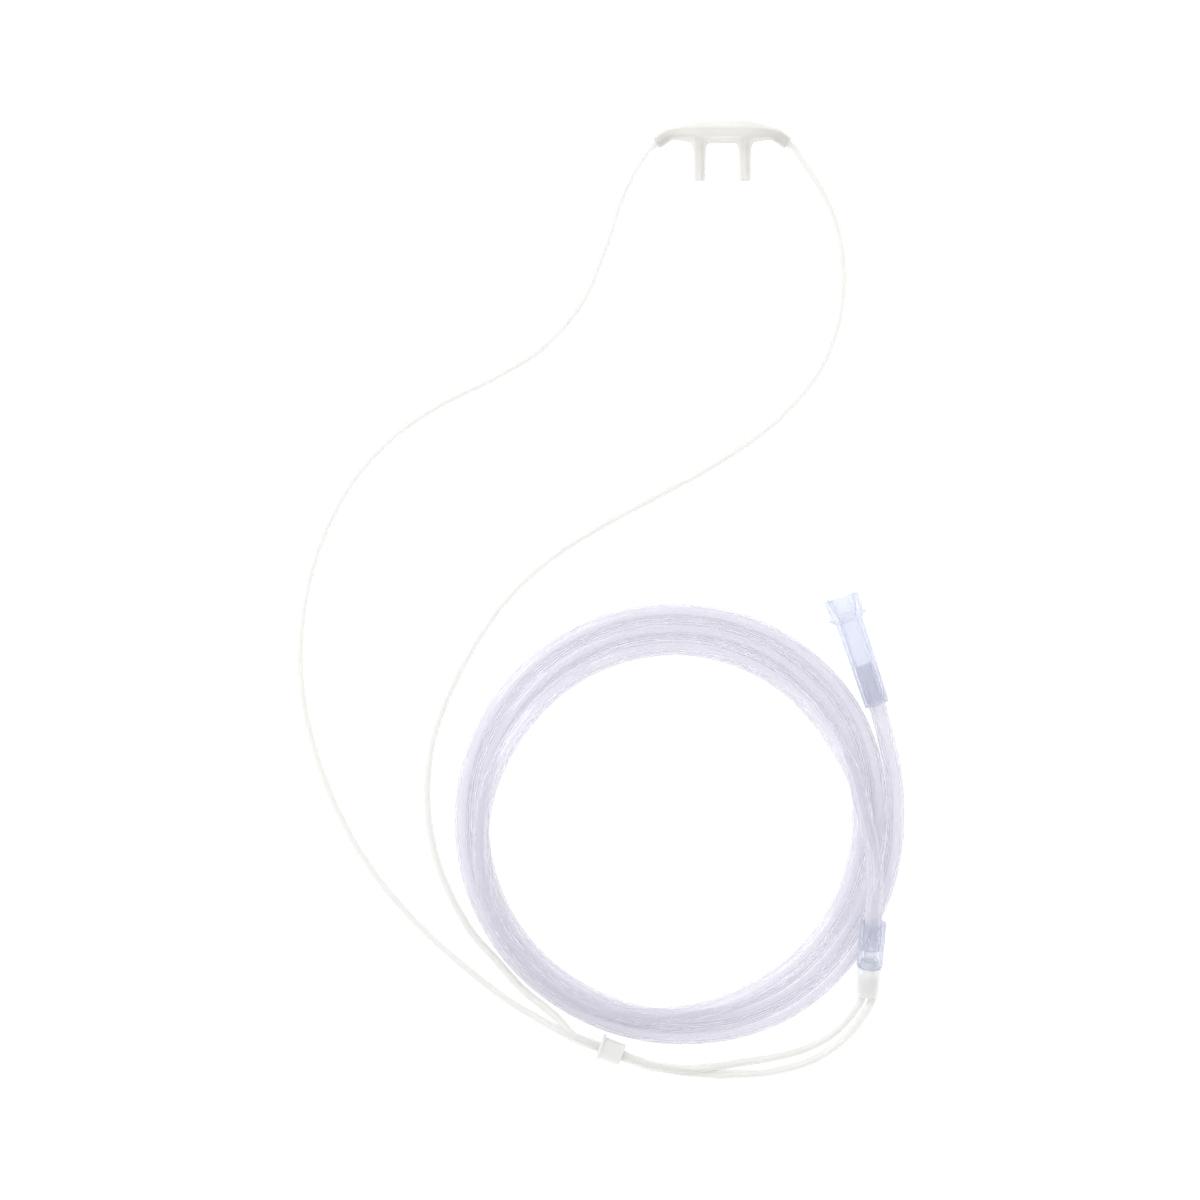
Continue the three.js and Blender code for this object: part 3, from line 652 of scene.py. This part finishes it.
def blended(parts, voxel=0.22, rounds=5):
    """All the parts as one skin, remeshed in voxels. Then each point is drawn towards the middle of
    its neighbours, in a few rounds."""
    together = bmesh.new()
    for part in parts:
        face_outwards(part)
        mesh = bpy.data.meshes.new("part")
        part.to_mesh(mesh)
        part.free()
        together.from_mesh(mesh)
        bpy.data.meshes.remove(mesh)
    piece = object_of("work", together)
    remesh = piece.modifiers.new("one_skin", "REMESH")
    remesh.mode, remesh.voxel_size = "VOXEL", voxel
    smooth = piece.modifiers.new("soft_roots", "SMOOTH")
    smooth.factor, smooth.iterations = 0.5, rounds
    return applied(piece)


solids = [turned(prong_profile, place, forward, 48) for place in prong_places]
nosepiece_skin = blended([ring_grid(rings) for rings in (body_rings, *solids)])
channel = ring_grid(nosepiece_rings(channel_sizes, CHANNEL_REACH, 32))
bores = [bar(PRONG_BORE / 2, -BODY_Y, 12.0, place, forward, 40) for place in prong_places]
seats = [
    bar(LARIAT_HOLE, -COLLAR_LENGTH, 1.0, COLLAR_MOUTH * mirror, COLLAR_OUT * mirror, 40)
    for mirror in ([-1, 1, 1], [1, 1, 1])
]
nosepiece = mesh_object("nosepiece_moulding", cut(nosepiece_skin, [channel, *bores, *seats]), 38)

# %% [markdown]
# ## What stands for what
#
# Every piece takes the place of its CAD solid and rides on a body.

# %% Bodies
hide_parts("supply_tube_start", "supply_coil", "supply_tube_end")
for piece, node, slot in (
    (supply_tube, None, "supply_pvc"),
    (lariats[0], "lariat_tube_left", "lariat_pvc"),
    (lariats[1], "lariat_tube_right", "lariat_pvc"),
    (nosepiece, "nosepiece", "nosepiece_pvc"),
    (socket, "lariat_socket", "socket_pvc"),
    (coupler, "supply_coupler", "coupler_pvc"),
    (end_connector, "end_connector", "coupler_pvc"),
    (slider, "slider", "slider_plastic"),
):
    if node:
        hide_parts(node)
    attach(piece, "slider" if piece is slider else "cannula")

# %% [markdown]
# ## Vinyl
#
# Soft vinyl is not quite even. A moulding is a little cloudier here and there, and its skin has a
# faint ripple. A drawn tube has faint long streaks, from the die that it was pulled through. Two node
# groups give these to the plastics. Each puts out a colour, a roughness and a normal, all of which
# change over the surface.


# %% The skins of moulded and drawn vinyl
def skin_group(name, build):
    """A node group with the sockets that both skins share. `build` makes its pattern: it returns
    the output that clouds the colour and the one that ripples the skin."""
    group = bpy.data.node_groups.new(name, "ShaderNodeTree")
    for socket_name, kind, value in (
        ("Colour", "NodeSocketColor", (0.8, 0.8, 0.8, 1)),
        ("Cloud", "NodeSocketColor", (0.9, 0.9, 0.9, 1)),
        ("Roughness", "NodeSocketFloat", 0.2),
        ("Ripple", "NodeSocketFloat", 0.1),
    ):
        socket = group.interface.new_socket(socket_name, in_out="INPUT", socket_type=kind)
        socket.default_value = value
    for socket_name, kind in (
        ("Colour", "NodeSocketColor"), ("Roughness", "NodeSocketFloat"), ("Normal", "NodeSocketVector"),
    ):  # fmt: skip
        group.interface.new_socket(socket_name, in_out="OUTPUT", socket_type=kind)
    nodes, link = group.nodes, group.links.new
    given, made = nodes.new("NodeGroupInput"), nodes.new("NodeGroupOutput")
    cloud, ripple = build(nodes, link)
    tint = nodes.new("ShaderNodeMix")
    tint.data_type = "RGBA"
    link(cloud, tint.inputs["Factor"])
    link(given.outputs["Colour"], tint.inputs["A"])
    link(given.outputs["Cloud"], tint.inputs["B"])
    link(tint.outputs["Result"], made.inputs["Colour"])
    dull = nodes.new("ShaderNodeMath")
    dull.operation = "MULTIPLY_ADD"
    link(ripple, dull.inputs[0])
    dull.inputs[1].default_value = 0.03
    link(given.outputs["Roughness"], dull.inputs[2])
    link(dull.outputs[0], made.inputs["Roughness"])
    bump = nodes.new("ShaderNodeBump")
    bump.inputs["Distance"].default_value = 0.0002
    link(given.outputs["Ripple"], bump.inputs["Strength"])
    link(ripple, bump.inputs["Height"])
    link(bump.outputs["Normal"], made.inputs["Normal"])
    return group


def moulded(nodes, link):
    """Clouds about 8 mm across and ripples of about 1 mm, in the space of the object."""
    place = nodes.new("ShaderNodeTexCoord")
    made = []
    for scale, detail in ((120, 3), (900, 2)):
        noise = nodes.new("ShaderNodeTexNoise")
        noise.inputs["Scale"].default_value = scale
        noise.inputs["Detail"].default_value = detail
        link(place.outputs["Object"], noise.inputs["Vector"])
        made.append(noise.outputs["Fac"])
    return made


def drawn(nodes, link):
    """Streaks from the UV map: a few round the tube, each a hundred millimetres long or more."""
    uv = nodes.new("ShaderNodeUVMap")
    uv.uv_map = "drawn"
    made = []
    for round_, along in ((4, 6), (8, 9)):
        stretch = nodes.new("ShaderNodeMapping")
        stretch.inputs["Scale"].default_value = (round_, along, 1)
        noise = nodes.new("ShaderNodeTexNoise")
        noise.inputs["Scale"].default_value = 1
        noise.inputs["Detail"].default_value = 2
        link(uv.outputs["UV"], stretch.inputs["Vector"])
        link(stretch.outputs["Vector"], noise.inputs["Vector"])
        made.append(noise.outputs["Fac"])
    return made


SKINS = {"moulded": skin_group("moulded_skin", moulded), "drawn": skin_group("drawn_skin", drawn)}
print("skins:", {name: len(group.nodes) for name, group in SKINS.items()})

# %% [markdown]
# ## Clear, cloudy and milky plastics
#
# All of them are one material with other values. A clear wall lets the table through where it is seen
# face on, and looks dense at its rim, where the eye passes along the wall: Layer Weight tells the two
# apart, and sets how opaque the wall is. What the wall holds back is scattered in a milky vinyl. In
# the violet and blue ones some of it is bent as by glass, so that walls and ribs draw fine bright and
# dark lines.


# %% The plastics
VINYL_IOR = 1.53


def plastic(name, skin, colour, cloud, roughness, ripple, face, rim, clear=0.0):
    """`colour` and `cloud` are two shades of the vinyl. The wall is `face` opaque where it is seen
    face on and `rim` opaque edge on. `clear` is how much of the light that it does hold back is bent
    as by glass, and not scattered."""
    material = bpy.data.materials.new(name)
    material.use_nodes = True
    nodes, link = material.node_tree.nodes, material.node_tree.links.new
    shader = nodes["Principled BSDF"]
    shader.inputs["IOR"].default_value = VINYL_IOR
    shader.inputs["Transmission Weight"].default_value = clear
    even = nodes.new("ShaderNodeGroup")
    even.node_tree = SKINS[skin]
    even.inputs["Colour"].default_value = (*colour, 1)
    even.inputs["Cloud"].default_value = (*cloud, 1)
    even.inputs["Roughness"].default_value = roughness
    even.inputs["Ripple"].default_value = ripple
    link(even.outputs["Colour"], shader.inputs["Base Color"])
    link(even.outputs["Roughness"], shader.inputs["Roughness"])
    link(even.outputs["Normal"], shader.inputs["Normal"])
    weight, dense = nodes.new("ShaderNodeLayerWeight"), nodes.new("ShaderNodeMapRange")
    weight.inputs["Blend"].default_value = 0.5
    dense.interpolation_type = "SMOOTHSTEP"
    dense.inputs["To Min"].default_value, dense.inputs["To Max"].default_value = face, rim
    link(weight.outputs["Facing"], dense.inputs["Value"])
    link(dense.outputs["Result"], shader.inputs["Alpha"])
    return material


PLASTICS = {
    "nosepiece": plastic("milky_vinyl", "moulded", (0.71, 0.695, 0.665), (0.77, 0.755, 0.73),
                         0.28, 0.02, 0.38, 0.78),
    "lariat": plastic("lariat_vinyl", "drawn", (0.84, 0.84, 0.82), (0.89, 0.89, 0.87),
                      0.28, 0.01, 0.38, 0.75),
    "slider": plastic("slider_plastic", "moulded", (0.88, 0.88, 0.86), (0.93, 0.93, 0.91),
                      0.3, 0.06, 0.65, 1.0),
    "socket": plastic("milky_socket", "moulded", (0.88, 0.88, 0.885), (0.93, 0.93, 0.935),
                      0.25, 0.05, 0.45, 0.9),
    "blue": plastic("blue_clear_vinyl", "moulded", (0.5, 0.54, 0.7), (0.56, 0.6, 0.75),
                    0.05, 0.01, 0.2, 0.72, clear=0.35),
    "violet": plastic("violet_clear_vinyl", "drawn", (0.76, 0.745, 0.83), (0.8, 0.79, 0.86),
                      0.0, 0.005, 0.38, 0.7, clear=0.5),
}  # fmt: skip
for piece, finish in (
    (nosepiece, "nosepiece"), (lariats[0], "lariat"), (lariats[1], "lariat"), (slider, "slider"),
    (socket, "socket"), (coupler, "blue"), (end_connector, "blue"), (supply_tube, "violet"),
):  # fmt: skip
    piece.data.materials.append(PLASTICS[finish])
print(len(PLASTICS), "plastics")

# %% [markdown]
# ## Table and light
#
# The picture is high-key: a white table that glows a little by itself, as a backlit one does, and soft
# light from all sides. A large soft box above draws a bright line along each tube, and a second, low
# one gives the thinner line near the other edge. The sky is brighter overhead and to the left and
# right than at the front and back, so that tubes that run up or across the picture differ. The
# Standard view keeps white as white. A look through the coil passes many clear walls, so light may
# bounce more often than is usual.

# %% The table
TABLE_LEFT, TABLE_RIGHT, TABLE_FRONT, TABLE_BACK = -2, 2, -2.2, 1.8
table_mesh = bpy.data.meshes.new("table")
corners = [
    (TABLE_LEFT, TABLE_FRONT, 0), (TABLE_RIGHT, TABLE_FRONT, 0), (TABLE_RIGHT, TABLE_BACK, 0),
    (TABLE_LEFT, TABLE_BACK, 0),
]  # fmt: skip
table_mesh.from_pydata(corners, [], [(0, 1, 2, 3)])
table = bpy.data.objects.new("table", table_mesh)
bpy.context.scene.collection.objects.link(table)
paper = bpy.data.materials.new("white_table")
paper.use_nodes = True
sheet = paper.node_tree.nodes["Principled BSDF"]
sheet.inputs["Base Color"].default_value = (0.92, 0.92, 0.92, 1)
sheet.inputs["Roughness"].default_value = 0.9
sheet.inputs["Specular IOR Level"].default_value = 0.0
sheet.inputs["Emission Color"].default_value = (1, 1, 1, 1)
sheet.inputs["Emission Strength"].default_value = 0.4
table_mesh.materials.append(paper)
print("table:", TABLE_RIGHT - TABLE_LEFT, "m wide")

# %% The lights
scene = bpy.context.scene
scene.view_settings.view_transform = "Standard"
scene.cycles.transparent_max_bounces = 32
scene.cycles.max_bounces = scene.cycles.transmission_bounces = 24
world = bpy.data.worlds.new("studio")
world.use_nodes = True
nodes, link = world.node_tree.nodes, world.node_tree.links.new
direction, parts = nodes.new("ShaderNodeTexCoord"), nodes.new("ShaderNodeSeparateXYZ")
sideways, brighter = nodes.new("ShaderNodeMath"), nodes.new("ShaderNodeMath")
sideways.operation, brighter.operation = "POWER", "MULTIPLY_ADD"
sideways.inputs[1].default_value, brighter.inputs[1].default_value = 2.0, 1.1
grade = nodes.new("ShaderNodeMapRange")
grade.inputs["To Min"].default_value, grade.inputs["To Max"].default_value = 0.35, 1.03
link(direction.outputs["Generated"], parts.inputs["Vector"])
link(parts.outputs["X"], sideways.inputs[0])
link(sideways.outputs[0], brighter.inputs[0])
link(parts.outputs["Z"], brighter.inputs[2])
link(brighter.outputs[0], grade.inputs["Value"])
link(grade.outputs["Result"], nodes["Background"].inputs["Strength"])
nodes["Background"].inputs["Color"].default_value = (1, 1, 1, 1)
scene.world = world


def soft_box(name, place, size, energy):
    """A square light that faces the middle of the view."""
    light = bpy.data.objects.new(name, bpy.data.lights.new(name, "AREA"))
    light.data.size, light.data.energy = size, energy
    light.location = place
    aim = light.location - Vector((*(VIEW_CENTRE * MM), 0))
    light.rotation_euler = aim.to_track_quat("Z", "Y").to_euler()
    scene.collection.objects.link(light)


soft_box("overhead", (-0.6, 0.5, 1.8), 0.7, 9)
soft_box("low_side", (-1.3, 0.9, 0.75), 0.5, 6)
